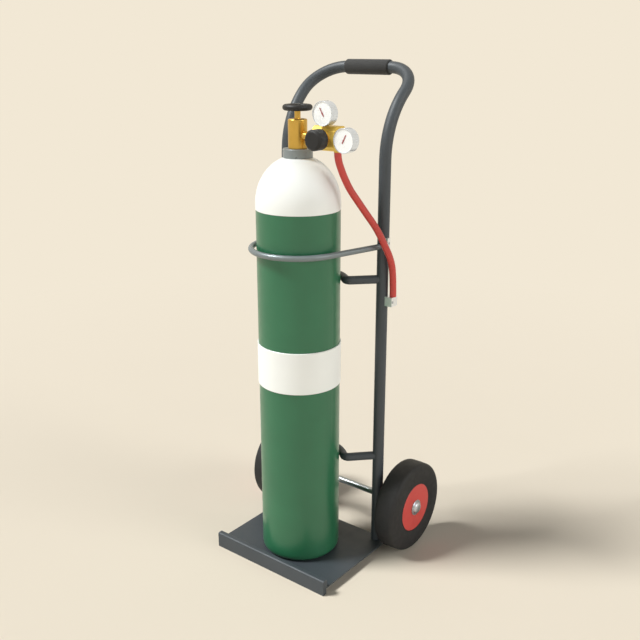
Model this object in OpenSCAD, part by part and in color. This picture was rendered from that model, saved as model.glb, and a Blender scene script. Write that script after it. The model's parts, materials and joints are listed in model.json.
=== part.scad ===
// Gas cylinder trolley: a two-wheeled trolley that carries one tall gas
// cylinder with its valve, regulator, two gauges and a short hose.
// Millimetres. X is to the right seen from the front, Y to the back, Z up.
// Pieces are drawn around the axis of the cylinder, and centred() moves them so
// that the origin lies on the floor at the centre of the whole footprint.

/* [Cylinder] */
// Outside diameter of the gas cylinder
cylinder_d = 230; // [200:1:236]
// Wall of the cylinder
cylinder_wall = 6; // [4:0.5:9]
// Height of the green shell above the plate
shell_h = 1029; // [960:1:1060]
// Radius of the rounded bottom edge
foot_round = 18; // [8:1:22]
// Depth of the hollow under the base
base_hollow = 9; // [4:1:14]
// How far the white shoulder stands proud of the shell
shoulder_lip = 0.8; // [0.4:0.1:1.2]
// Straight skirt at the bottom of the shoulder
shoulder_skirt = 15; // [8:1:30]
// Rise of the domed part of the shoulder
dome_rise = 129; // [110:1:150]
// Height of the colour band above the plate
band_z = 534; // [400:1:620]
// Width of the colour band
band_h = 120; // [60:1:160]
// Thickness of the colour band
band_t = 3; // [1:0.5:3]

/* [Valve] */
// Outside diameter of the neck ring
neck_d = 80; // [74:1:90]
// Height of the neck ring
neck_h = 24; // [16:1:30]
// Diameter of the valve body
valve_d = 51; // [44:1:56]
// Height of the valve body above the neck ring
valve_h = 76; // [68:1:86]
// Diameter of the valve spindle
spindle_d = 16; // [12:0.5:18]
// Length of spindle that shows under the handwheel
spindle_show = 21; // [16:1:34]
// Outside diameter of the handwheel
handwheel_d = 79; // [66:1:92]
// Thickness of the handwheel's rim
handwheel_rim = 16; // [12:0.5:20]
// Number of spokes in the handwheel
handwheel_spokes = 5; // [3:1:7]
// Height of the outlet above the neck ring
outlet_z = 33; // [31:0.5:40]
// Diameter of the valve's outlet
outlet_d = 24; // [18:1:30]

/* [Regulator] */
// Distance from the cylinder's axis to the regulator body
body_start = 68; // [64:1:76]
// Length of the regulator body
body_l = 71; // [66:1:80]
// Depth of the regulator body
body_w = 55; // [50:1:60]
// Height of the regulator body
body_h = 61; // [58:1:64]
// Bevel along the edges of the regulator body
body_bevel = 11; // [6:0.5:13]
// Distance of the knob and the top gauge from the start of the body
port_x = 41; // [36:1:46]
// Diameter of the bonnet behind the knob
bonnet_d = 32; // [28:1:40]
// Length of the bonnet
bonnet_l = 8; // [7:0.5:14]
// Diameter of the adjusting knob
knob_d = 53; // [46:1:60]
// Length of the adjusting knob
knob_l = 39; // [30:1:46]
// Gap between the bonnet and the knob
knob_gap = 3.5; // [3:0.5:10]
// Diameter of the adjusting screw
adjuster_d = 12; // [8:1:16]
// Outside diameter of the gauges
gauge_d = 62; // [54:1:64]
// Depth of the gauges
gauge_t = 29; // [28.5:0.5:34]
// Distance of the gauge faces in front of the cylinder's axis
gauge_face = 37; // [34:0.5:37.5]
// Gap between the top gauge and the regulator body
top_gap = 1; // [1:0.5:6]
// Gap between the side gauge and the regulator body
side_gap = 5; // [3:0.5:12]
// Diameter of the gauge stems
stem_d = 7; // [6:0.5:8]
// Angle of the top gauge's needle, left of upright
top_needle_angle = 30; // [0:1:90]
// Angle of the side gauge's needle, right of upright
side_needle_angle = 27; // [0:1:90]

/* [Frame] */
// Outside diameter of the frame tube
tube_d = 33; // [30:0.5:34]
// Wall of the frame tube
tube_wall = 2.5; // [1.5:0.5:4]
// Distance between the axes of the two uprights
frame_w = 342; // [338:1:352]
// Distance of the uprights behind the cylinder's axis
upright_y = 158.5; // [157:0.5:162]
// Height at which the uprights start to lean back
bend_z = 1174; // [1120:1:1200]
// Radius of the bend that leans the handle back
lean_r = 225; // [190:1:240]
// Angle of the handle behind upright
lean_angle = 51.6; // [45:0.2:57]
// Radius of the two top corners
corner_r = 96.4; // [80:0.2:104]
// Outside diameter of the foam grip
grip_d = 42.5; // [38:0.5:48]
// Diameter of the two cradle bars
cradle_d = 24; // [20:0.5:26]
// Gap between the colour band and what goes round the cylinder
hug_gap = 0.5; // [0.4:0.1:3]
// Height of the upper cradle bar
upper_cradle_z = 848.7; // [780:0.1:880]
// Height of the lower cradle bar
lower_cradle_z = 304.6; // [250:0.1:340]
// Radius of the small bend in the cradle bars
cradle_bend = 14; // [13:0.5:20]
// Diameter of the front hoop's rod
hoop_d = 16; // [12:0.5:18]
// Gap between the front hoop and the colour band
hoop_gap = 3.5; // [3:0.5:8]
// Height of the front hoop
hoop_z = 943; // [900:1:960]

/* [Toe plate] */
// How far the toe plate reaches outside the axis of each upright
plate_side = 33; // [28:1:48]
// Height of the toe plate
plate_h = 21.5; // [16:0.5:30]
// Thickness of the plate's sheet
sheet_t = 4; // [3:0.5:5]
// Distance of the plate's front in front of the cylinder's axis
plate_front = 151; // [145:0.5:160]
// Distance of the plate's rear edge behind the uprights
plate_tail = 16; // [15:0.5:24]
// Height of the front lip above the floor
lip_h = 46.5; // [36:0.5:60]
// Width of the folded front lip
lip_w = 18; // [12:0.5:24]

/* [Wheels] */
// Diameter of the wheels
wheel_d = 272; // [250:1:280]
// Width of the tyres
tyre_w = 64.5; // [54:0.5:72]
// Diameter of the red rims
rim_d = 147; // [130:1:160]
// Gap between the wheels and the sides of the toe plate
wheel_gap = 3; // [2:0.5:12]
// Distance of the axle behind the uprights
axle_back = 60; // [50:0.5:70]
// Diameter of the axle
axle_d = 20; // [16:0.5:22]
// Diameter of the axle's end caps
cap_d = 48; // [40:1:56]
// Thickness of the axle brackets
bracket_t = 6; // [4:0.5:8]

/* [Hose] */
// Outside diameter of the hose
hose_d = 19; // [15:0.5:19]

/* [Hidden] */

// Clearances: a shaft that turns, a piece that is pushed in, a piece that lifts out
run_gap = 0.05;
seat_gap = 0.1;
lift_gap = 0.3;
// Where two pieces of a bent bar meet, one is this much thicker and reaches over the other
weld_step = 0.05;
weld_lap = 0.5;

// The angle that the reach takes on a bend
function lap_turn(bend) = weld_lap / bend * 180 / PI;

// Radii
cylinder_r = cylinder_d / 2;
shoulder_r = cylinder_r + shoulder_lip;
band_r = cylinder_r + band_t;
tube_r = tube_d / 2;
neck_r = neck_d / 2;
valve_r = valve_d / 2;
spindle_r = spindle_d / 2;
axle_r = axle_d / 2;
wheel_r = wheel_d / 2;
rim_r = rim_d / 2;
hose_r = hose_d / 2;
gauge_r = gauge_d / 2;
upright_x = frame_w / 2;
plate_half = upright_x + plate_side;

// Heights from the floor
shell_top = plate_h + shell_h;
dome_z = shell_top + shoulder_skirt;
neck_z = dome_z + dome_rise * sqrt(1 - pow(neck_r / shoulder_r, 2));
valve_z = neck_z + neck_h;
valve_top = valve_z + valve_h;
outlet_h = valve_z + outlet_z;
wheel_z = valve_top + spindle_show + handwheel_rim / 2;

// Axle and overall footprint
axle_y = upright_y + axle_back;
wheel_x = plate_half + wheel_gap;
wheel_mid = wheel_x + tyre_w / 2;
plate_rear = upright_y + plate_tail;
middle_y = (axle_y + wheel_r - plate_front) / 2;

// Regulator
stem_edge = 0.3;
gas_r = 4;
body_mid = body_start + body_l / 2;
body_end = body_start + body_l;
port = body_start + port_x;
body_top = outlet_h + body_h / 2;
body_bottom = outlet_h - body_h / 2;
body_front = -body_w / 2;
bonnet_front = body_front - bonnet_l;
knob_back = bonnet_front - knob_gap;
knob_r = knob_d / 2;
top_gauge_z = body_top + top_gap + gauge_r;
side_gauge_x = body_end + side_gap + gauge_r;
stem_y = -min(gauge_face - gauge_t * 0.62, body_w / 2 - body_bevel - stem_d / 2 - stem_edge);
stem_in = 8;
gauge_wall = 1.6;

// Screws, the same in every clamp
screw_r = 2.5;
screw_head_r = 4.3;
screw_head_h = 3;
socket_r = 2;
clamp_z = hoop_z + 11;
clamp_h = 30;
clamp_out = 5.5;
clamp_y0 = upright_y - 10.5;
clamp_y1 = upright_y + 2;
clamp_screw_y = upright_y - 4.5;

// Hose route from the regulator to the holster, points chosen by eye
outlet_nut_h = 4;
hose_start = [131.8, 0, body_bottom - outlet_nut_h];
hose_end = [203, 165, 802.3];
HOSE_ROUTE = [
    hose_start, [132.5, 1.5, 1192], [136.2, 9.5, 1165], [141.3, 20.5, 1138], [148.3, 33.3, 1111],
    [157.5, 50, 1084], [170, 80, 1041], [179, 100, 1012], [187.5, 116, 983], [195.5, 127.5, 955],
    [201.5, 141, 926], [203.5, 154, 895], [203.5, 160.5, 865], [203.2, 163.5, 835],
    [203, 165, 815], hose_end
];
hose_sides = 10;
hose_bore = 3;
port_l = 12;

// Holster block for the hose's lower end
holster_h = 27;
holster_out = 22;
holster_y0 = upright_y - 8;
holster_y1 = upright_y + 20;
holster_top = hose_end[2] - lift_gap;
holster_screw_y = upright_y - 3.5;
spigot_r = 4.5;
spigot_l = 22;

// Puts a piece from the cylinder's axis into the centred frame
module centred() {
    translate([0, -middle_y, 0]) children();
}

// Puts a left-hand copy beside a right-hand piece
module both_sides() {
    children();
    mirror([1, 0, 0]) children();
}

// A cylinder along X from x0 to x1
module bar_x(x0, x1, r, y, z, sides = 64) {
    translate([x0, y, z]) rotate([0, 90, 0]) cylinder(h = x1 - x0, r = r, $fn = sides);
}

// A cylinder along Y from y0 to y1
module bar_y(y0, y1, r, x, z, sides = 64) {
    translate([x, y1, z]) rotate([90, 0, 0]) cylinder(h = y1 - y0, r = r, $fn = sides);
}

// A part of a ring: a round bar of radius r bent at radius bend through angle
module bent_bar(bend, r, angle) {
    rotate_extrude(angle = angle, $fn = 96) translate([bend, 0]) circle(r = r, $fn = 48);
}

// Frame tube

lean_y = upright_y + lean_r * (1 - cos(lean_angle));
lean_z = bend_z + lean_r * sin(lean_angle);
bar_half = upright_x - corner_r;

// The plane in which the leaning handle lies: X across, Y up the slope
module handle_plane() {
    translate([0, lean_y, lean_z]) rotate([90 - lean_angle, 0, 0]) children();
}

// One round bar along the whole run of the frame tube, from foot_z up
module frame_run(r, foot_z) {
    both_sides() {
        translate([upright_x, upright_y, foot_z])
            cylinder(h = bend_z + weld_lap - foot_z, r = r, $fn = 48);
        translate([upright_x, upright_y + lean_r, bend_z]) rotate([90, 0, -90])
            bent_bar(lean_r, r - weld_step, lean_angle + lap_turn(lean_r));
        handle_plane() translate([bar_half, 0, 0]) bent_bar(corner_r, r - 2 * weld_step, 90);
    }
    handle_plane()
        bar_x(-bar_half - weld_lap, bar_half + weld_lap, r - weld_step, corner_r, 0, 48);
}

module frame_tube() {
    color("#454b50") centred() difference() {
        frame_run(tube_r, plate_h);
        frame_run(tube_r - tube_wall, plate_h - 1);
        both_sides()
            bar_x(upright_x, upright_x + tube_d, screw_r + seat_gap, clamp_screw_y, clamp_z);
        bar_x(upright_x, upright_x + tube_d, screw_r + seat_gap, holster_screw_y,
            holster_top - holster_h / 2);
    }
}

module handle_grip() {
    grip_l = 2 * bar_half - 1;
    edge = 4;
    bore = tube_r + seat_gap;
    color("#1b1b1c") centred() handle_plane() translate([0, corner_r, 0]) rotate([0, 90, 0])
        rotate_extrude($fn = 96) polygon([
            [bore, -grip_l / 2], [grip_d / 2 - edge, -grip_l / 2],
            [grip_d / 2, -grip_l / 2 + edge], [grip_d / 2, grip_l / 2 - edge],
            [grip_d / 2 - edge, grip_l / 2], [bore, grip_l / 2]
        ]);
}

// Cradle bars and front hoop

reach = norm([upright_x, upright_y]);
upright_angle = atan2(upright_y, upright_x);

// Each cradle bar follows the back of the cylinder, turns square outwards and runs to the upright
cradle_r = band_r + hug_gap + cradle_d / 2;
cradle_turn = upright_angle + asin(cradle_bend / reach);
cradle_leg = sqrt(pow(reach, 2) - pow(cradle_bend, 2)) - cradle_r - cradle_bend;

module cradle(z) {
    r = cradle_d / 2;
    color("#3f454a") centred() translate([0, 0, z]) difference() {
        union() {
            rotate(cradle_turn) bent_bar(cradle_r, r, 180 - 2 * cradle_turn);
            both_sides() rotate(cradle_turn) translate([cradle_r + cradle_bend, 0, 0]) {
                rotate(180 - lap_turn(cradle_bend))
                    bent_bar(cradle_bend, r + weld_step, 90 + lap_turn(cradle_bend));
                translate([-weld_lap, -cradle_bend, 0]) rotate([0, 90, 0])
                    cylinder(h = cradle_leg + weld_lap, r = r + 2 * weld_step, $fn = 48);
            }
        }
        both_sides() translate([upright_x, upright_y, -cradle_d])
            cylinder(h = 2 * cradle_d, r = tube_r, $fn = 48);
    }
}

module cradle_upper() cradle(upper_cradle_z);

module cradle_lower() cradle(lower_cradle_z);

// The hoop goes round the front and runs straight from its widest points to the uprights
hoop_r = band_r + hoop_gap + hoop_d / 2;
hoop_turn = upright_angle - acos(hoop_r / reach);
hoop_leg = sqrt(pow(reach, 2) - pow(hoop_r, 2));

module front_hoop() {
    r = hoop_d / 2;
    color("#7d8386") centred() translate([0, 0, hoop_z]) difference() {
        union() {
            rotate(180 - hoop_turn) bent_bar(hoop_r, r, 180 + 2 * hoop_turn);
            both_sides() rotate(hoop_turn) translate([hoop_r, -weld_lap, 0])
                rotate([-90, 0, 0])
                cylinder(h = hoop_leg + weld_lap, r = r + weld_step, $fn = 48);
        }
        both_sides() translate([upright_x, upright_y, -hoop_d])
            cylinder(h = 2 * hoop_d, r = tube_r, $fn = 48);
    }
}

// A block that seats on the outer side of the right upright
module saddle_block(y0, y1, z0, z1, out) {
    edge = 1;
    l = y1 - y0;
    face = tube_r + out;
    difference() {
        translate([upright_x, y0, z0]) linear_extrude(z1 - z0) polygon([
            [0, 0], [face - edge, 0], [face, edge], [face, l - edge], [face - edge, l], [0, l]
        ]);
        translate([upright_x, upright_y, z0 - 1]) cylinder(h = z1 - z0 + 2, r = tube_r, $fn = 48);
        translate([upright_x, y0 - 1, z0 - 1]) cube([tube_r * 0.55, y1 - y0 + 2, z1 - z0 + 2]);
    }
}

// A socket-head screw along X with its head flush in a block of the given reach
module saddle_screw(y, z, out) {
    face = upright_x + tube_r + out;
    bar_x(upright_x + tube_r - tube_wall, face - screw_head_h, screw_r, y, z, 32);
    difference() {
        bar_x(face - screw_head_h, face, screw_head_r, y, z, 32);
        bar_x(face - screw_head_h / 2, face + 1, socket_r, y, z, 6);
    }
}

// The hole for such a screw
module saddle_hole(y, z, out) {
    face = upright_x + tube_r + out;
    bar_x(upright_x, face, screw_r + seat_gap, y, z, 32);
    bar_x(face - screw_head_h, face + 1, screw_head_r + seat_gap, y, z, 32);
}

module hoop_clamp() {
    difference() {
        saddle_block(clamp_y0, clamp_y1, clamp_z - clamp_h / 2, clamp_z + clamp_h / 2, clamp_out);
        saddle_hole(clamp_screw_y, clamp_z, clamp_out);
    }
}

module hoop_clamp_right() {
    color("#c9cbc8") centred() hoop_clamp();
}

module hoop_clamp_left() {
    color("#c9cbc8") centred() mirror([1, 0, 0]) hoop_clamp();
}

module clamp_screws() {
    color("#8a8d8e") centred() both_sides() saddle_screw(clamp_screw_y, clamp_z, clamp_out);
}

module hose_holster() {
    color("#c3c6c2") centred() difference() {
        saddle_block(holster_y0, holster_y1, holster_top - holster_h, holster_top, holster_out);
        saddle_hole(holster_screw_y, holster_top - holster_h / 2, holster_out);
        translate([hose_end[0], hose_end[1], holster_top - holster_h - 1])
            cylinder(h = holster_h + 2, r = spigot_r + lift_gap, $fn = 48);
    }
}

module holster_screw() {
    color("#8a8d8e") centred() saddle_screw(holster_screw_y, holster_top - holster_h / 2, holster_out);
}

// Toe plate

// Outside of a bend in the sheet round [y, z], from angle start a quarter turn clockwise
function sheet_bend(y, z, r, start) =
    [for (a = [start:-15:start - 90]) [y + r * cos(a), z + r * sin(a)]];

// Cross-section of the folded sheet: rear skirt, top, and a lip folded back on itself
module plate_section() {
    t = sheet_t;
    bend = sheet_t + 1;
    front = -plate_front;
    difference() {
        polygon(concat(
            [[front, 0]], sheet_bend(front + bend, lip_h - bend, bend, 180),
            sheet_bend(front + lip_w - bend, lip_h - bend, bend, 90),
            [[front + lip_w, plate_h]], sheet_bend(plate_rear - bend, plate_h - bend, bend, 90),
            [[plate_rear, 0]]
        ));
        translate([front + t, -1]) square([plate_rear - front - 2 * t, plate_h - t + 1]);
        translate([front + t, -1]) square([lip_w - 2 * t, lip_h - t + 1]);
    }
}

// The sheet is open at its sides, but the ends of the lip are closed
module toe_plate() {
    t = sheet_t;
    color("#4a5054") centred() {
        rotate([90, 0, 90]) translate([0, 0, -plate_half])
            linear_extrude(2 * plate_half) plate_section();
        both_sides() translate([plate_half - t, -plate_front + t, 0])
            cube([t, lip_w - 2 * t, lip_h - t]);
    }
}

// Two channels under the plate, below the foot of the cylinder
module plate_ribs() {
    t = sheet_t;
    rib_x = plate_half * 0.4;
    rib_w = 30;
    color("#3c4145") centred() both_sides() difference() {
        translate([rib_x - rib_w / 2, -plate_front + lip_w, 0])
            cube([rib_w, plate_front + plate_rear - lip_w - t, plate_h - t]);
        translate([rib_x - rib_w / 2 + t, -plate_front, t])
            cube([rib_w - 2 * t, plate_front + plate_rear, plate_h]);
    }
}

// Axle and wheels

module axle_bracket() {
    boss_r = axle_r + 12;
    root = 62;
    y0 = upright_y + tube_r * 0.6;
    difference() {
        translate([upright_x - bracket_t / 2, 0, 0]) rotate([90, 0, 90]) linear_extrude(bracket_t) {
            translate([axle_y, wheel_r]) circle(r = boss_r, $fn = 64);
            polygon([
                [y0, wheel_r - root], [axle_y, wheel_r - boss_r],
                [axle_y, wheel_r + boss_r], [y0, wheel_r + root]
            ]);
        }
        bar_x(upright_x - bracket_t, upright_x + bracket_t, axle_r + run_gap, axle_y, wheel_r);
        translate([upright_x, upright_y, 0]) cylinder(h = wheel_d, r = tube_r, $fn = 48);
    }
}

module axle_bracket_right() {
    color("#3f454a") centred() axle_bracket();
}

module axle_bracket_left() {
    color("#3f454a") centred() mirror([1, 0, 0]) axle_bracket();
}

axle_half = wheel_x + tyre_w + 5;

module axle() {
    edge = 1;
    color("#c8cccd") centred() translate([-axle_half, axle_y, wheel_r]) rotate([0, 90, 0])
        rotate_extrude($fn = 64) polygon([
            [0, 0], [axle_r - edge, 0], [axle_r, edge],
            [axle_r, 2 * axle_half - edge], [axle_r - edge, 2 * axle_half], [0, 2 * axle_half]
        ]);
}

// Tubes that keep the wheels away from the brackets
module axle_spacers() {
    spacer_t = 4;
    x0 = upright_x + bracket_t / 2;
    color("#9a9d9e") centred() both_sides() difference() {
        bar_x(x0, wheel_x - lift_gap, axle_r + spacer_t, axle_y, wheel_r);
        bar_x(x0 - 1, wheel_x, axle_r + run_gap, axle_y, wheel_r);
    }
}

// Caps with a flange and a domed middle, pushed on to the ends of the axle
module axle_caps() {
    rim = cap_d / 2;
    face = wheel_x + tyre_w + lift_gap;
    color("#c2c5c4") centred() both_sides() translate([face, axle_y, wheel_r]) rotate([0, 90, 0])
        rotate_extrude($fn = 64) polygon([
            [axle_r + run_gap, 0], [rim - 1, 0], [rim, 1], [rim, 2], [rim - 1, 2.7],
            [rim * 0.74, 3.2], [rim * 0.7, 6.5], [rim * 0.6, 9], [rim * 0.4, 10.8],
            [rim * 0.2, 11.7], [0, 12], [0, 5.5], [axle_r + run_gap, 5.5]
        ]);
}

// The tyre's bead sits this deep in the rim's groove and this far from the wheel's sides
bead_h = 6;
bead_side = 10;
bush_r = axle_r + 5;

// Tyre: a flat tread with rounded shoulders, seated in the rim's groove
module tyre() {
    half = tyre_w / 2;
    shoulder = 11;
    translate([wheel_mid, axle_y, wheel_r]) rotate([0, 90, 0]) rotate_extrude($fn = 128) union() {
        difference() {
            translate([rim_r, -half]) square([wheel_r - rim_r, tyre_w]);
            for (side = [-1, 1]) translate([wheel_r - shoulder, side * (half - shoulder)])
                mirror([0, side < 0 ? 1 : 0]) difference() {
                    square([shoulder + 1, shoulder + 1]);
                    circle(r = shoulder, $fn = 48);
                }
        }
        translate([rim_r - bead_h, bead_side - half]) square([bead_h + 1, tyre_w - 2 * bead_side]);
    }
}

// Rim: an outer disc, a band with a groove for the tyre, a hub and ribs between them
module rim() {
    half = tyre_w / 2;
    hub_r = bush_r + 9;
    groove = rim_r - bead_h;
    band = groove - 8;
    disc = 7;
    rib = 5;
    edge = 1.5;
    translate([wheel_mid, axle_y, wheel_r]) rotate([0, 90, 0]) {
        rotate_extrude($fn = 128) polygon([
            [bush_r, -half], [hub_r, -half], [hub_r, half - disc], [band, half - disc],
            [band, -half], [rim_r, -half], [rim_r, bead_side - half],
            [groove, bead_side - half], [groove, half - bead_side], [rim_r, half - bead_side],
            [rim_r, half - edge], [rim_r - edge, half], [bush_r, half]
        ]);
        for (turn = [0:60:300]) rotate(turn) translate([hub_r - 1, -rib / 2, disc - half])
            cube([band - hub_r + 2, rib, tyre_w - 2 * disc + 1]);
    }
}

// Plain bush in the hub, which turns on the axle
module bush() {
    translate([wheel_mid, axle_y, wheel_r]) rotate([0, 90, 0]) difference() {
        translate([0, 0, -tyre_w / 2]) cylinder(h = tyre_w, r = bush_r - run_gap, $fn = 64);
        translate([0, 0, -tyre_w]) cylinder(h = 2 * tyre_w, r = axle_r + run_gap, $fn = 64);
    }
}

module tyre_right() { color("#2c2c2c") centred() tyre(); }

module tyre_left() { color("#2c2c2c") centred() mirror([1, 0, 0]) tyre(); }

module rim_right() { color("#c9423a") centred() rim(); }

module rim_left() { color("#c9423a") centred() mirror([1, 0, 0]) rim(); }

module bush_right() { color("#d8d4c8") centred() bush(); }

module bush_left() { color("#d8d4c8") centred() mirror([1, 0, 0]) bush(); }

// Cylinder

// Points round the foot's corner, for the outside or the hollow of the shell
function foot_points(r, base) = [
    for (a = [-90:15:0])
        [r - foot_round + foot_round * cos(a), base + foot_round + foot_round * sin(a)]
];

module cylinder_shell() {
    in_r = cylinder_r - cylinder_wall;
    floor_z = base_hollow + cylinder_wall;
    color("#1f5f33") centred() translate([0, 0, plate_h]) rotate_extrude($fn = 128) difference() {
        polygon(concat(
            [[0, base_hollow], [cylinder_r * 0.45, base_hollow * 0.75]],
            [[cylinder_r - 2.4 * foot_round, 0]], foot_points(cylinder_r, 0),
            [[cylinder_r, shell_h], [0, shell_h]]
        ));
        polygon(concat(
            [[0, floor_z]], foot_points(in_r, floor_z), [[in_r, shell_h + 1], [0, shell_h + 1]]
        ));
    }
}

// Half profile of the dome at radius r, from the skirt to the neck
function dome_points(r, rise, steps) =
    let (stop = acos(neck_r / shoulder_r))
    [for (i = [0:steps]) [r * cos(stop * i / steps), rise * sin(stop * i / steps)]];

neck_bore = 14;

module cylinder_shoulder() {
    in_r = cylinder_r - cylinder_wall;
    neck_top = neck_z - dome_z;
    color("#f1f0ea") centred() translate([0, 0, dome_z]) rotate_extrude($fn = 128) difference() {
        polygon(concat(
            [[0, -shoulder_skirt], [shoulder_r - 1, -shoulder_skirt], [shoulder_r, 1 - shoulder_skirt]],
            dome_points(shoulder_r, dome_rise, 20),
            [[0, neck_top]]
        ));
        polygon(concat(
            [[0, -shoulder_skirt - 1], [in_r, -shoulder_skirt - 1]],
            dome_points(in_r, dome_rise - cylinder_wall, 16),
            [[0, (dome_rise - cylinder_wall) * sin(acos(neck_r / shoulder_r))]]
        ));
        translate([0, -shoulder_skirt]) square([neck_bore, dome_rise + 2 * shoulder_skirt]);
    }
}

module colour_band() {
    edge = 1;
    color("#eeede6") centred() translate([0, 0, plate_h + band_z]) rotate_extrude($fn = 128) polygon([
        [cylinder_r, 0], [band_r - edge, 0], [band_r, edge],
        [band_r, band_h - edge], [band_r - edge, band_h], [cylinder_r, band_h]
    ]);
}

module neck_ring() {
    edge = 1.5;
    bore = neck_bore + 4;
    color("#7b7f80") centred() translate([0, 0, neck_z]) rotate_extrude($fn = 96) polygon([
        [bore, 0], [neck_r - edge, 0], [neck_r, edge],
        [neck_r, neck_h - edge], [neck_r - edge, neck_h], [bore, neck_h]
    ]);
}

// Ends of the outlet and of the nut on it, and the gland's recess
outlet_x = valve_r + 12;
nut_x = body_start - 8;
gland_r = spindle_r + 5;
gland_h = 5;
spindle_in = 29;

// Valve body with its foot in the neck, its side outlet and its spindle bore
module valve_body() {
    edge = 4;
    foot = neck_h + 20;
    color("#c9962b") centred() difference() {
        union() {
            translate([0, 0, valve_z]) rotate_extrude($fn = 96) polygon(concat(
                [[0, -foot], [neck_bore - 2, -foot], [neck_bore - seat_gap, 2 - foot]],
                [[neck_bore - seat_gap, 0], [valve_r - 1, 0], [valve_r, 1]],
                [for (a = [0:15:90]) [valve_r - edge + edge * cos(a), valve_h - edge + edge * sin(a)]],
                [[0, valve_h]]
            ));
            bar_x(0, outlet_x, outlet_d / 2, 0, outlet_h);
        }
        translate([0, 0, valve_top - spindle_in - 1])
            cylinder(h = spindle_in + 2, r = spindle_r + run_gap, $fn = 64);
        translate([0, 0, valve_top - gland_h]) cylinder(h = gland_h + 1, r = gland_r, $fn = 64);
        bar_x(valve_r, outlet_x + 1, gas_r, 0, outlet_h);
    }
}

// Ring that holds the spindle's packing, just proud of the top of the valve
module gland_ring() {
    color("#b98827") centred() translate([0, 0, valve_top - gland_h]) difference() {
        cylinder(h = gland_h + 0.6, r = gland_r - run_gap, $fn = 64);
        translate([0, 0, -1]) cylinder(h = gland_h + 3, r = spindle_r + run_gap, $fn = 64);
    }
}

hub_half = handwheel_rim * 0.34;
square_w = spindle_d * 0.62;

nut_h = 4;
nut_cap = 1.2;

// Round spindle with a square top that drives the handwheel
module valve_spindle() {
    foot = valve_top - spindle_in;
    color("#c9a02c") centred() {
        translate([0, 0, foot]) cylinder(h = wheel_z - hub_half - foot, r = spindle_r, $fn = 64);
        translate([-square_w / 2, -square_w / 2, wheel_z - hub_half])
            cube([square_w, square_w, 2 * hub_half]);
        translate([0, 0, wheel_z + hub_half])
            cylinder(h = nut_h - nut_cap - run_gap, r = square_w / 2, $fn = 32);
    }
}

module handwheel() {
    rim_half = handwheel_rim / 2;
    centre_r = handwheel_d / 2 - rim_half;
    hub_r = spindle_r + 5;
    hole = square_w + 2 * run_gap;
    spoke = 8;
    color("#1c1c1d") centred() translate([0, 0, wheel_z]) difference() {
        union() {
            rotate_extrude($fn = 96) translate([centre_r, 0]) circle(r = rim_half, $fn = 48);
            translate([0, 0, -hub_half]) cylinder(h = 2 * hub_half, r = hub_r, $fn = 64);
            for (i = [0:handwheel_spokes - 1]) rotate(i * 360 / handwheel_spokes)
                translate([hub_r - 2, -spoke / 2, -spoke / 2])
                    cube([centre_r - hub_r + 2, spoke, spoke]);
        }
        translate([-hole / 2, -hole / 2, -handwheel_rim]) cube([hole, hole, 2 * handwheel_rim]);
    }
}

// Closed nut on the end of the spindle
module handwheel_nut() {
    color("#b8babb") centred() translate([0, 0, wheel_z + hub_half]) difference() {
        cylinder(h = nut_h, r = square_w / 2 + 4, $fn = 6);
        translate([0, 0, -1])
            cylinder(h = nut_h - nut_cap + 1, r = square_w / 2 + run_gap, $fn = 32);
    }
}

// Regulator

// Six-sided nut on the valve's outlet, with the short neck that the regulator stands on
module inlet_nut() {
    color("#c9962b") centred() difference() {
        union() {
            bar_x(outlet_x, nut_x, outlet_d / 2 + 3, 0, outlet_h, 6);
            bar_x(nut_x - 1, body_start, outlet_d / 2 - 1, 0, outlet_h);
        }
        bar_x(outlet_x - 1, body_start + 1, gas_r, 0, outlet_h);
    }
}

// Bevelled block with its ports for the gauges, the inlet and the outlet
module regulator_body() {
    b = body_bevel;
    front = body_w / 2;
    top = body_h / 2;
    edge = 2;
    port_r = stem_d / 2 + seat_gap;
    color("#cfa42e") centred() difference() {
        intersection() {
            translate([body_start, 0, outlet_h]) rotate([90, 0, 90]) linear_extrude(body_l) polygon([
                [-front, b - top], [b - front, -top], [front - b, -top], [front, b - top],
                [front, top - b], [front - b, top], [b - front, top], [-front, top - b]
            ]);
            translate([0, 0, body_bottom - 1]) linear_extrude(body_h + 2) polygon([
                [body_start, edge - front], [body_start + edge, -front],
                [body_end - edge, -front], [body_end, edge - front],
                [body_end, front - edge], [body_end - edge, front],
                [body_start + edge, front], [body_start, front - edge]
            ]);
        }
        bar_x(body_start - 1, body_mid, gas_r, 0, outlet_h);
        translate([port, stem_y, body_top - stem_in]) cylinder(h = stem_in + 1, r = port_r, $fn = 48);
        bar_x(body_end - stem_in, body_end + 1, port_r, stem_y, outlet_h);
        translate([hose_start[0], hose_start[1], body_bottom - 1])
            cylinder(h = port_l, r = hose_bore, $fn = 32);
    }
}

module bonnet() {
    r = bonnet_d / 2;
    edge = 4;
    thread = adjuster_d / 2 + run_gap;
    color("#c39a2b") centred() translate([port, body_front, outlet_h]) rotate([90, 0, 0])
        rotate_extrude($fn = 96) polygon([
            [thread, 0], [r, 0], [r, bonnet_l - edge], [r - edge, bonnet_l], [thread, bonnet_l]
        ]);
}

// How far the screw reaches into the knob
knob_grip = knob_l * 0.7;

module adjusting_screw() {
    color("#8c8f90") centred()
        bar_y(knob_back - knob_grip, body_front - run_gap, adjuster_d / 2, port, outlet_h);
}

// Knob with bevelled ends and a blind hole for the adjusting screw
module regulator_knob() {
    edge = 6;
    bore = adjuster_d / 2 + run_gap;
    bore_l = knob_grip + seat_gap;
    color("#222223") centred() translate([port, knob_back, outlet_h]) rotate([90, 0, 0])
        rotate_extrude($fn = 96) polygon([
            [bore, 0], [knob_r - edge, 0], [knob_r, edge], [knob_r, knob_l - edge],
            [knob_r - edge * 0.7, knob_l - 1], [knob_r - edge, knob_l], [0, knob_l],
            [0, bore_l], [bore, bore_l]
        ]);
}

// Gauge pieces, drawn with the face on y = 0 looking towards -Y

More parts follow.
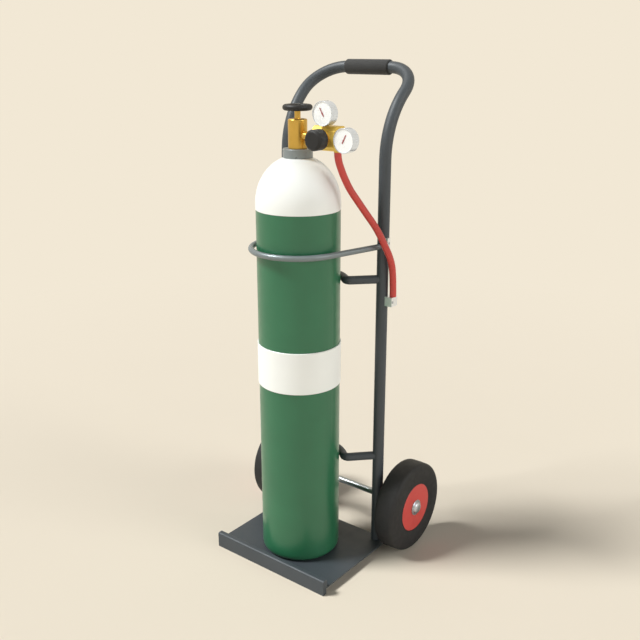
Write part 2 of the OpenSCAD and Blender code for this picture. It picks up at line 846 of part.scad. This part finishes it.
bezel_l = 6;
bezel_lip = 1.4;
lens_y = 0.2;
lens_t = 0.8;
needle_y = 1.3;
needle_t = 0.6;
dial_y = 2.2;
dial_t = 1;
pin_r = 0.9;
pin_end = dial_y + dial_t + 4;
glass_r = gauge_r - bezel_lip - run_gap;

// A revolved piece: the points are radius and depth behind the face
module turned(points) {
    rotate([-90, 0, 0]) rotate_extrude($fn = 96) polygon(points);
}

// Case with a rounded back edge; stem_turn says where round the case the stem enters
module gauge_case(stem_turn) {
    r = gauge_r;
    w = gauge_wall;
    edge = 3;
    color("#c4c6c7") difference() {
        turned([
            [0, gauge_t], [r - edge, gauge_t], [r, gauge_t - edge], [r, bezel_l],
            [r - w, bezel_l], [r - w, gauge_t - edge], [r - edge, gauge_t - w], [0, gauge_t - w]
        ]);
        rotate([0, stem_turn, 0]) translate([0, stem_y + gauge_face, -r - 1])
            cylinder(h = r, r = stem_d / 2 + seat_gap, $fn = 48);
    }
}

// Bezel: a lipped ring that carries the lens and the dial
module gauge_bezel() {
    r = gauge_r;
    edge = 0.8;
    color("#d4d6d6") turned([
        [r - bezel_lip, 0], [r - edge, 0], [r, edge], [r, bezel_l], [r - bezel_lip, bezel_l]
    ]);
}

module gauge_dial() {
    hole = pin_r + run_gap;
    back = dial_y + dial_t;
    color("#f6f5f0") turned([[hole, dial_y], [glass_r, dial_y], [glass_r, back], [hole, back]]);
}

module gauge_lens() {
    back = lens_y + lens_t;
    color("#e8f0f2", 0.3) turned([[0, lens_y], [glass_r, lens_y], [glass_r, back], [0, back]]);
}

// Tapered pointer on a small boss with its pivot pin through the dial
module gauge_needle(lean) {
    tip = gauge_r * 0.52;
    tail = gauge_r * 0.25;
    wide = 1.7;
    narrow = 1.5;
    boss = 2.6;
    back = needle_y + needle_t;
    color("#c2242e") rotate([0, lean, 0]) {
        translate([0, back, 0]) rotate([90, 0, 0]) linear_extrude(needle_t)
            polygon([[-wide, -tail], [wide, -tail], [narrow, tip], [-narrow, tip]]);
        turned([
            [0, needle_y], [boss, needle_y], [boss, back], [pin_r, back], [pin_r, pin_end], [0, pin_end]
        ]);
    }
}

module at_top_gauge() {
    centred() translate([port, -gauge_face, top_gauge_z]) children();
}

module at_side_gauge() {
    centred() translate([side_gauge_x, -gauge_face, outlet_h]) children();
}

module top_gauge_case() { at_top_gauge() gauge_case(0); }

module top_gauge_bezel() { at_top_gauge() gauge_bezel(); }

module top_gauge_dial() { at_top_gauge() gauge_dial(); }

module top_gauge_lens() { at_top_gauge() gauge_lens(); }

module top_gauge_needle() { at_top_gauge() gauge_needle(-top_needle_angle); }

module side_gauge_case() { at_side_gauge() gauge_case(90); }

module side_gauge_bezel() { at_side_gauge() gauge_bezel(); }

module side_gauge_dial() { at_side_gauge() gauge_dial(); }

module side_gauge_lens() { at_side_gauge() gauge_lens(); }

module side_gauge_needle() { at_side_gauge() gauge_needle(side_needle_angle); }

// Stems: from a port in the regulator body into the gauge's case
stem_out = 5;

module top_gauge_stem() {
    color("#b98a28") centred() translate([port, stem_y, body_top - stem_in])
        cylinder(h = stem_in + top_gap + stem_out, r = stem_d / 2, $fn = 48);
}

module side_gauge_stem() {
    color("#b98a28") centred()
        bar_x(body_end - stem_in, body_end + side_gap + stem_out, stem_d / 2, stem_y, outlet_h, 48);
}

// Hose

// A nut with a hollow, under the regulator body, that the hose starts from
module outlet_nut() {
    color("#b98a28") centred() translate(hose_start) difference() {
        cylinder(h = outlet_nut_h, r = hose_r + 0.5, $fn = 48);
        translate([0, 0, -1]) cylinder(h = outlet_nut_h + 2, r = hose_bore, $fn = 32);
    }
}

function unit(v) = v / norm(v);

function clip(i, n) = min(max(i, 0), n);

// Direction of the route at point i; both ends run straight down
function heading(route, i) =
    let (n = len(route) - 1)
    (i == 0 || i == n) ? [0, 0, -1] : unit(route[clip(i + 1, n)] - route[clip(i - 1, n)]);

// A tube with flat ends swept along a route that never runs along Y
module swept_tube(route, r, sides) {
    n = len(route);
    points = [
        for (i = [0:n - 1])
            let (d = heading(route, i), u = unit(cross([0, 1, 0], d)), v = cross(d, u))
            for (k = [0:sides - 1]) route[i] + r * (cos(360 * k / sides) * u + sin(360 * k / sides) * v)
    ];
    walls = [
        for (i = [0:n - 2]) for (k = [0:sides - 1])
            let (m = (k + 1) % sides, low = i * sides, high = low + sides)
            each [[low + k, low + m, high + m], [low + k, high + m, high + k]]
    ];
    ends = [
        [for (k = [sides - 1:-1:0]) k],
        [for (k = [0:sides - 1]) (n - 1) * sides + k]
    ];
    polyhedron(points = points, faces = concat(walls, ends), convexity = 10);
}

module hose() {
    color("#cf2e26") centred() swept_tube(HOSE_ROUTE, hose_r, hose_sides);
}

// Steel tail on the hose's lower end, which stands in the holster
module hose_spigot() {
    wall = 1.5;
    color("#b9bcbc") centred() translate(hose_end) mirror([0, 0, 1]) difference() {
        cylinder(h = spigot_l, r = spigot_r, $fn = 48);
        translate([0, 0, wall]) cylinder(h = spigot_l, r = spigot_r - wall, $fn = 48);
    }
}

frame_tube();
toe_plate();
plate_ribs();
cradle_upper();
cradle_lower();
axle_bracket_left();
axle_bracket_right();
axle();
axle_spacers();
axle_caps();
handle_grip();
front_hoop();
hoop_clamp_left();
hoop_clamp_right();
clamp_screws();
hose_holster();
holster_screw();
tyre_left();
rim_left();
bush_left();
tyre_right();
rim_right();
bush_right();
cylinder_shell();
cylinder_shoulder();
colour_band();
neck_ring();
valve_body();
gland_ring();
valve_spindle();
handwheel();
handwheel_nut();
inlet_nut();
regulator_body();
bonnet();
adjusting_screw();
regulator_knob();
top_gauge_case();
top_gauge_bezel();
top_gauge_dial();
top_gauge_lens();
top_gauge_needle();
top_gauge_stem();
side_gauge_case();
side_gauge_bezel();
side_gauge_dial();
side_gauge_lens();
side_gauge_needle();
side_gauge_stem();
outlet_nut();
hose();
hose_spigot();
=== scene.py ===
"""The gas cylinder trolley's looks: materials, smooth pieces, floor, light, camera."""

import json
import math

import bmesh
import bpy
from mathutils import Matrix, Vector


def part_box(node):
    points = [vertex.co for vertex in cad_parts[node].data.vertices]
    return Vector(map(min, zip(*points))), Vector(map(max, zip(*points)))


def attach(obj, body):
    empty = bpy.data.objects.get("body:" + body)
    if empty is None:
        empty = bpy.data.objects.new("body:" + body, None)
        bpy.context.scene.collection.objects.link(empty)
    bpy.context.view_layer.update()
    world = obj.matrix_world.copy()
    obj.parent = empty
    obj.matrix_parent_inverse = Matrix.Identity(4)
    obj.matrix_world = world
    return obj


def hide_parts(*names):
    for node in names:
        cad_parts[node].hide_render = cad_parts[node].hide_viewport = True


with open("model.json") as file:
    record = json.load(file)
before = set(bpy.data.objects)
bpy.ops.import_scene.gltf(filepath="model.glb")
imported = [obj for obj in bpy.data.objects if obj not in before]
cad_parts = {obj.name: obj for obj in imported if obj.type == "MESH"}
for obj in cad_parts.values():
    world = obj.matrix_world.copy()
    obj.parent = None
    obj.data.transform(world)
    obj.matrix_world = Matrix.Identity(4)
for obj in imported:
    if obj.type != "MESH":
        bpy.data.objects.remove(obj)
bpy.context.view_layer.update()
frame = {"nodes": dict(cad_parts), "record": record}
nodes = frame["nodes"]

X, Z = Vector((1, 0, 0)), Vector((0, 0, 1))


# Building blocks for meshes

CREASE = 35  # degrees; sharper edges stay hard
MERGE = 1e-6  # metres; closer points become one


def link(name, data):
    piece = bpy.data.objects.new(name, data)
    bpy.context.scene.collection.objects.link(piece)
    return piece


def smooth(mesh, crease):
    """Smooth shading, but for edges sharper than crease degrees."""
    mesh.polygons.foreach_set("use_smooth", [True] * len(mesh.polygons))
    mesh.set_sharp_from_angle(angle=math.radians(crease))


def mesh_piece(name, points, faces, crease=CREASE):
    """A smooth piece from points and faces, its doubled points merged."""
    mesh = bpy.data.meshes.new(name)
    mesh.from_pydata([tuple(p) for p in points], [], faces)
    shape = bmesh.new()
    shape.from_mesh(mesh)
    bmesh.ops.remove_doubles(shape, verts=shape.verts, dist=MERGE)
    bmesh.ops.recalc_face_normals(shape, faces=shape.faces)
    shape.to_mesh(mesh)
    shape.free()
    smooth(mesh, crease)
    return link(name, mesh)


def lathe(name, profile, centre, steps, crease=CREASE):
    """A piece: a closed profile of (radius, place along X), turned round X."""
    side = X.orthogonal().normalized()
    turn = 2 * math.pi / steps
    points, faces = [], []
    for k in range(steps):
        out = Matrix.Rotation(k * turn, 3, X) @ side
        points += [centre + out * r + X * h for r, h in profile]
    n = len(profile)
    for k in range(steps):
        a, b = k * n, (k + 1) % steps * n
        for i in range(n):
            j = (i + 1) % n
            faces.append((a + i, a + j, b + j, b + i))
    return mesh_piece(name, points, faces, crease)


def quarter(centre_r, centre_h, radius, steps):
    """Points of a profile on a quarter circle, from its outside to its end."""
    angles = [math.radians(90 * i / steps) for i in range(steps + 1)]
    return [
        (centre_r + radius * math.cos(a), centre_h + radius * math.sin(a))
        for a in angles
    ]


def disc(rings, steps):
    """Points and faces of a flat disc on the ground, with rings of these radii."""
    turns = [2 * math.pi * k / steps for k in range(steps)]
    points = [(r * math.cos(a), r * math.sin(a), 0) for r in rings for a in turns]
    faces = []
    for i in range(len(rings) - 1):
        a, b = i * steps, (i + 1) * steps
        for k in range(steps):
            m = (k + 1) % steps
            faces.append((a + k, b + k, b + m, a + m))
    return points, faces


def middle(node):
    low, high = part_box(node)
    return (low + high) / 2


def size(node):
    low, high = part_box(node)
    return high - low


# Camera: place in metres, angles in degrees, lens and sensor in millimetres

CAMERA_PLACE = (1.4311, -1.82965, 1.4658)
CAMERA_AZIMUTH = 38.14
CAMERA_ELEVATION = 18.05
CAMERA_LENS = 47.25
CAMERA_SENSOR = 36
CAMERA_REACH = 60


def make_camera():
    data = bpy.data.cameras.new("camera")
    data.sensor_width = CAMERA_SENSOR
    data.lens = CAMERA_LENS
    data.clip_end = CAMERA_REACH
    camera = link("camera", data)
    camera.location = CAMERA_PLACE
    tilt = math.radians(90 - CAMERA_ELEVATION)
    camera.rotation_euler = (tilt, 0, math.radians(CAMERA_AZIMUTH))
    bpy.context.scene.camera = camera


make_camera()


# Materials, in the model's coordinates: a noise has about scale lumps in a metre

MID_NOISE = (0.3, 0.7)  # where most values of a noise lie


class Look:
    """A procedural material on one Principled shader."""

    def __init__(self, name, roughness, metallic=0.0, **inputs):
        self.material = bpy.data.materials.new(name)
        self.material.use_nodes = True
        self.tree = self.material.node_tree
        self.shader = self.tree.nodes["Principled BSDF"]
        self.shader.inputs["Roughness"].default_value = roughness
        self.shader.inputs["Metallic"].default_value = metallic
        for key, value in inputs.items():
            self.shader.inputs[key.replace("_", " ")].default_value = value
        self.place = self.add("ShaderNodeTexCoord").outputs["Object"]

    def add(self, kind):
        return self.tree.nodes.new(kind)

    def wire(self, source, target):
        self.tree.links.new(source, target)

    def stretched(self, grain):
        """The place for a noise that is drawn out where grain is small."""
        mapping = self.add("ShaderNodeMapping")
        mapping.inputs["Scale"].default_value = grain
        self.wire(self.place, mapping.inputs["Vector"])
        return mapping.outputs["Vector"]

    def noise(self, scale, detail=3.0, place=None):
        texture = self.add("ShaderNodeTexNoise")
        texture.inputs["Scale"].default_value = scale
        texture.inputs["Detail"].default_value = detail
        self.wire(place or self.place, texture.inputs["Vector"])
        return texture.outputs["Fac"]

    def cells(self, scale):
        texture = self.add("ShaderNodeTexVoronoi")
        texture.inputs["Scale"].default_value = scale
        self.wire(self.place, texture.inputs["Vector"])
        return texture.outputs["Distance"]

    def spread(self, value, low, high, span=MID_NOISE):
        """From low to high as value rises over span."""
        node = self.add("ShaderNodeMapRange")
        ends = {"From Min": span[0], "From Max": span[1], "To Min": low, "To Max": high}
        for key, number in ends.items():
            node.inputs[key].default_value = number
        self.wire(value, node.inputs["Value"])
        return node.outputs["Result"]

    def colour(self, value, dark, light):
        """Colour of the surface, from dark to light as value rises over MID_NOISE."""
        ramp = self.add("ShaderNodeValToRGB")
        stops = ramp.color_ramp.elements
        for stop, position, colour in zip(stops, MID_NOISE, (dark, light)):
            stop.position = position
            stop.color = (*colour, 1)
        self.wire(value, ramp.inputs["Fac"])
        self.wire(ramp.outputs["Color"], self.shader.inputs["Base Color"])

    def rough(self, value, low, high):
        self.wire(self.spread(value, low, high), self.shader.inputs["Roughness"])

    def bump(self, value, height, strength=1.0):
        """Relief of a height in metres."""
        node = self.add("ShaderNodeBump")
        node.inputs["Distance"].default_value = height
        node.inputs["Strength"].default_value = strength
        self.wire(value, node.inputs["Height"])
        self.wire(node.outputs["Normal"], self.shader.inputs["Normal"])


def around(colour, share):
    """The colour a little darker and a little lighter."""
    return [c * (1 - share) for c in colour], [c * (1 + share) for c in colour]


def coat(name, colour, roughness, peel=0.00002, variation=0.05, **inputs):
    """Powder coat or enamel: fine orange peel, faint patches in colour and gloss."""
    look = Look(name, roughness, **inputs)
    look.colour(look.noise(scale=9, detail=4), *around(colour, variation))
    gloss = look.noise(scale=35, detail=5)
    look.rough(gloss, low=roughness - 0.05, high=roughness + 0.06)
    look.bump(look.noise(scale=700, detail=2), height=peel)
    return look


# Grain of a metal along X, Y and Z

ALONG_Z, ALONG_X, ALL_WAYS = (1, 1, 0.03), (0.03, 1, 1), (1, 1, 1)


def metal(name, colour, roughness, grain=ALL_WAYS, metallic=1.0):
    """Turned, drawn or polished metal: fine lines along its grain, faint stains."""
    look = Look(name, roughness, metallic)
    look.colour(look.noise(scale=28, detail=5), *around(colour, share=0.06))
    lines = look.noise(scale=420, detail=2, place=look.stretched(grain))
    look.rough(lines, low=roughness - 0.04, high=roughness + 0.06)
    look.bump(lines, height=0.000002)
    return look


def moulded(
    name, colour, roughness, grain=900, variation=0.08, height=0.00003, **inputs
):
    """Moulded plastic or rubber with a fine matte grain."""
    look = Look(name, roughness, **inputs)
    look.colour(look.noise(scale=14, detail=4), *around(colour, variation))
    gloss = look.noise(scale=60, detail=4)
    look.rough(gloss, low=roughness - 0.06, high=roughness + 0.06)
    look.bump(look.noise(scale=grain, detail=2), height)
    return look


def foam(name, colour):
    """Soft foam rubber with fine pores."""
    look = Look(name, 0.8, Sheen_Weight=0.15)
    look.colour(look.noise(scale=30, detail=4), *around(colour, share=0.12))
    look.bump(look.cells(scale=1500), height=0.0002, strength=0.6)
    return look


def clear_lens():
    """A thin clear pane that is seen through."""
    look = Look("clear_lens", 0.05, Alpha=0.05)
    look.colour(look.noise(scale=3), dark=(0.94, 0.96, 0.98), light=(1, 1, 1))
    look.rough(look.noise(scale=30), low=0.03, high=0.08)
    return look


slate = coat("slate", (0.049, 0.059, 0.068), 0.5, variation=0.06)
green = coat("green", (0.024, 0.145, 0.066), 0.33, Coat_Weight=0.15)
white = coat("white", (0.865, 0.87, 0.83), 0.36, variation=0.012)
hoop_grey = coat("hoop_grey", (0.195, 0.225, 0.235), 0.36, metallic=0.3)
neck_grey = coat("neck_grey", (0.235, 0.262, 0.265), 0.3, metallic=0.3)
brass = metal("brass", (0.66, 0.42, 0.095), 0.32, ALONG_Z)
body_brass = metal("body_brass", (0.79, 0.54, 0.1), 0.45, ALONG_X, metallic=0.55)
steel = metal("steel", (0.55, 0.59, 0.65), 0.28)
# A darker copy of the steel for the axle: painted shade and painted dark reflection,
# for the shade the axle lies in
painted_shade_steel = metal("painted_shade_steel", (0.36, 0.39, 0.41), 0.3, ALONG_X)
dark_steel = metal("dark_steel", (0.09, 0.092, 0.095), 0.4)
pale = metal("pale", (0.84, 0.88, 0.93), 0.36)
chrome = coat(
    "chrome", (0.72, 0.77, 0.84), 0.2, peel=0.000001, variation=0.02, metallic=0.7
)
tyre_black = moulded(
    "tyre_black", (0.0145, 0.0148, 0.016), 0.62, grain=500, height=0.00006,
    Specular_IOR_Level=0.4,
)
red_rim = moulded("red_rim", (0.63, 0.066, 0.056), 0.4, variation=0.05)
black = moulded("black", (0.015, 0.015, 0.0155), 0.5, Specular_IOR_Level=0.38)
natural = moulded("natural", (0.6, 0.58, 0.52), 0.5, variation=0.04)
hose_red = moulded("hose_red", (0.53, 0.05, 0.04), 0.38, grain=1400, variation=0.05)
grip_foam = foam("grip_foam", (0.023, 0.023, 0.0225))
dial_white = moulded(
    "dial_white", (0.9, 0.9, 0.87), 0.5, variation=0.01, height=0.000005
)
needle_red = coat("needle_red", (0.3, 0.004, 0.012), 0.45, peel=0.000005)

LOOKS = {
    "slate_paint": slate,
    "hoop_steel": hoop_grey,
    "pale_metal": pale,
    "bright_steel": steel,
    "black_foam": grip_foam,
    "tyre_rubber": tyre_black,
    "red_plastic": red_rim,
    "pale_plastic": natural,
    "green_paint": green,
    "white_paint": white,
    "brass": brass,
    "black_plastic": black,
    "red_rubber": hose_red,
    "gauge_chrome": chrome,
    "white_dial": dial_white,
    "clear_lens": clear_lens(),
    "red_needle": needle_red,
}

# Nodes whose look differs from their slot's

OWN_LOOKS = {
    "neck_ring": neck_grey,
    "regulator_body": body_brass,
    # The axle's darker steel is painted shade and painted dark reflection
    "axle": painted_shade_steel,
    "handwheel_nut": dark_steel,
}

NODE_CREASE = 30


def dress(piece, look):
    piece.data.materials.clear()
    piece.data.materials.append(look.material)


def dress_nodes():
    for part in frame["record"]["subparts"]:
        node = part["node"]
        dress(nodes[node], OWN_LOOKS.get(node, LOOKS[part["material_slot"]]))
        smooth(nodes[node].data, NODE_CREASE)


dress_nodes()


def stand_in(piece, slot, body, *replaced):
    """The piece takes the slot's look, rides on the body and stands for CAD nodes."""
    dress(piece, LOOKS[slot])
    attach(piece, body)
    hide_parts(*replaced)
    return piece


# Hose: its radius and the length of its ends' handles in metres; the route of its
# solid in millimetres from the cylinder's axis and the floor

HOSE_R = 0.0095
HOSE_END = 0.004
HOSE_ROUTE = [
    (131.8, 0, 1209.1), (132.5, 1.5, 1192), (136.2, 9.5, 1165), (141.3, 20.5, 1138),
    (148.3, 33.3, 1111), (157.5, 50, 1084), (170, 80, 1041), (179, 100, 1012),
    (187.5, 116, 983), (195.5, 127.5, 955), (201.5, 141, 926), (203.5, 154, 895),
    (203.5, 160.5, 865), (203.2, 163.5, 835), (203, 165, 815), (203, 165, 802.3),
]


def make_hose():
    curve = bpy.data.curves.new("hose_tube", "CURVE")
    curve.dimensions = "3D"
    curve.bevel_depth = HOSE_R
    curve.bevel_resolution = 8
    curve.use_fill_caps = True
    curve.resolution_u = 12
    line = curve.splines.new("BEZIER")
    line.bezier_points.add(len(HOSE_ROUTE) - 1)
    axis = middle("cylinder_shell") * Vector((1, 1, 0))
    points = [Vector(p) / 1000 + axis for p in HOSE_ROUTE]
    for handle, p in zip(line.bezier_points, points):
        handle.co = p
        handle.handle_left_type = handle.handle_right_type = "AUTO"
    for handle in (line.bezier_points[0], line.bezier_points[-1]):
        handle.handle_left_type = handle.handle_right_type = "FREE"
        handle.handle_left = handle.co + Z * HOSE_END
        handle.handle_right = handle.co - Z * HOSE_END
    piece = stand_in(link("hose_tube", curve), "red_rubber", "cylinder", "hose")


make_hose()


# Wheels, in metres and degrees

TYRE_SHOULDER = 0.011
TYRE_CROWN = 0.0006
TYRE_BEAD = ((0.006, 0), (0.0045, 0.0008), (0.002, 0.0008), (0, 0.0002))
TYRE_SINK = 0.0004  # how far its inside lies below the rim's edge
TYRE_CREASE = 50
TYRE_STEPS = 144
SHOULDER_STEPS = 9


def tyre_profile(outer, inner, half):
    """Closed profile: slightly crowned tread, round shoulders and a bead line.

    TYRE_BEAD has the bead line's points: how far out from the rim, how deep.
    """
    side = outer - TYRE_CROWN - TYRE_SHOULDER
    right = quarter(side, half - TYRE_SHOULDER, TYRE_SHOULDER, SHOULDER_STEPS)
    right += [(inner + away, half - deep) for away, deep in TYRE_BEAD]
    left = [(r, -h) for r, h in reversed(right)]
    return left + [(outer, 0)] + right


def make_tyre(side):
    node = "tyre_" + side
    centre, span = middle(node), size(node)
    rim = size("rim_" + side)
    profile = tyre_profile(span.y / 2, rim.y / 2 - TYRE_SINK, span.x / 2)
    piece = lathe("tyre_skin_" + side, profile, centre, TYRE_STEPS, TYRE_CREASE)
    stand_in(piece, "tyre_rubber", "wheel_" + side, node)


for side in ("left", "right"):
    make_tyre(side)


# Handle grip, in metres

GRIP_BORE = 0.0166  # radius, just over the tube's
GRIP_EDGE = 0.004
GRIP_STEPS = 64
EDGE_STEPS = 6


def make_grip():
    centre, span = middle("handle_grip"), size("handle_grip")
    outer, half = span.y / 2, span.x / 2
    end = quarter(outer - GRIP_EDGE, half - GRIP_EDGE, GRIP_EDGE, EDGE_STEPS)
    outside = [(r, -h) for r, h in reversed(end)] + end
    profile = outside + [(GRIP_BORE, half), (GRIP_BORE, -half)]
    piece = lathe("grip_sleeve", profile, centre, GRIP_STEPS)
    stand_in(piece, "black_foam", "trolley", "handle_grip")


make_grip()


# Edges of the blocks, plates and nuts catch the light on a small radius, in metres

SOFT_EDGES = {
    "regulator_body": 0.0009,
    "inlet_nut": 0.0006,
    "handwheel_nut": 0.0004,
    "hose_holster": 0.0008,
    "hoop_clamp_left": 0.0008,
    "hoop_clamp_right": 0.0008,
    "toe_plate": 0.0009,
    "axle_bracket_left": 0.0006,
    "axle_bracket_right": 0.0006,
}
SOFT_ANGLE = 30  # degrees; blunter edges stay as they are
SOFT_SEGMENTS = 3


def soften():
    for node, width in SOFT_EDGES.items():
        bevel = nodes[node].modifiers.new("soft_edges", "BEVEL")
        bevel.width = width
        bevel.segments = SOFT_SEGMENTS
        bevel.limit_method = "ANGLE"
        bevel.angle_limit = math.radians(SOFT_ANGLE)
        bevel.harden_normals = True


soften()


# Floor, backdrop and light, in metres

CREAM = (0.888, 0.807, 0.665)
FLOOR = (0.765, 0.669, 0.536)
FLOOR_FADE = (1.0, 3.2)  # distances between which the floor becomes the backdrop
FLOOR_RINGS = (0.0, 0.8, 2.0, 6.0, 25.0)
FLOOR_STEPS = 48
SKY_EDGE = 1.75  # strength at the horizon
SKY_POWER = 3.0  # how fast the strength falls above it
LAMP_COLOUR = (0.97, 1.0, 1.02)
LAMP_DISTANCE = 3
SEEN_RAYS = ("Is Camera Ray", "Is Glossy Ray", "Is Transmission Ray")


def math_node(tree, operation, *values):
    """A math node's result, from sockets or numbers."""
    node = tree.nodes.new("ShaderNodeMath")
    node.operation = operation
    for socket, value in zip(node.inputs, values):
        if isinstance(value, (int, float)):
            socket.default_value = value
        else:
            tree.links.new(value, socket)
    return node.outputs[0]


def seen_ray(tree):
    """A value that is 1 for a ray of SEEN_RAYS and 0 for any other."""
    path = tree.nodes.new("ShaderNodeLightPath")
    total, *others = [path.outputs[ray] for ray in SEEN_RAYS]
    for ray in others:
        total = math_node(tree, "MAXIMUM", total, ray)
    return total


def plain(tree, kind, colour):
    """A background or emission of one colour."""
    node = tree.nodes.new(kind)
    node.inputs["Color"].default_value = (*colour, 1)
    return node


def mixed(tree, factor, first, second):
    """First shader's output where factor is 0, second's where it is 1."""
    mix = tree.nodes.new("ShaderNodeMixShader")
    tree.links.new(factor, mix.inputs["Fac"])
    tree.links.new(first.outputs[0], mix.inputs[1])
    tree.links.new(second.outputs[0], mix.inputs[2])
    return mix.outputs[0]


def make_world():
    """Cream where it is seen; as a light, a soft sky, brightest round its edge."""
    world = bpy.data.worlds.new("world")
    bpy.context.scene.world = world
    world.use_nodes = True
    tree = world.node_tree
    tree.nodes.clear()
    seen = plain(tree, "ShaderNodeBackground", CREAM)
    lit = plain(tree, "ShaderNodeBackground", LAMP_COLOUR)
    place = tree.nodes.new("ShaderNodeTexCoord").outputs["Generated"]
    parts = tree.nodes.new("ShaderNodeSeparateXYZ")
    tree.links.new(place, parts.inputs[0])
    height = math_node(tree, "MAXIMUM", parts.outputs["Z"], 0.0)
    low = math_node(tree, "SUBTRACT", 1.0, height)
    edge = math_node(tree, "POWER", low, SKY_POWER)
    strength = math_node(tree, "MULTIPLY", edge, SKY_EDGE)
    tree.links.new(strength, lit.inputs["Strength"])
    out = tree.nodes.new("ShaderNodeOutputWorld")
    tree.links.new(mixed(tree, seen_ray(tree), lit, seen), out.inputs["Surface"])


def make_floor():
    """A wide disc whose far part shows the backdrop's colour, to hide the horizon."""
    look = Look("floor", 0.9)
    look.colour(look.noise(scale=2.5, detail=2), *around(FLOOR, share=0.004))
    tree = look.tree
    far = look.add("ShaderNodeVectorMath")
    far.operation = "LENGTH"
    look.wire(look.place, far.inputs[0])
    fade = look.spread(far.outputs["Value"], low=0, high=1, span=FLOOR_FADE)
    seen = math_node(tree, "MULTIPLY", fade, seen_ray(tree))
    glow = plain(tree, "ShaderNodeEmission", CREAM)
    shown = mixed(tree, seen, look.shader, glow)
    look.wire(shown, tree.nodes["Material Output"].inputs["Surface"])
    floor = mesh_piece("floor", *disc(FLOOR_RINGS, FLOOR_STEPS))
    dress(floor, look)


def lamp(name, azimuth, elevation, energy, spread):
    """A far soft lamp, as wide as spread. Azimuth 0 is in front, 90 to the right."""
    a, e = math.radians(azimuth), math.radians(elevation)
    across = math.cos(e)
    away = Vector((math.sin(a) * across, -math.cos(a) * across, math.sin(e)))
    data = bpy.data.lights.new(name, "SUN")
    data.energy = energy
    data.angle = math.radians(spread)
    data.color = LAMP_COLOUR
    piece = link(name, data)
    piece.location = away * LAMP_DISTANCE
    piece.rotation_mode = "QUATERNION"
    piece.rotation_quaternion = away.to_track_quat("Z", "Y")


make_world()
make_floor()
lamp("key", -46.5, 51, 3.45, 15)
lamp("fill", 100, 25, 0.8, 30)

bpy.context.scene.view_settings.view_transform = "Standard"
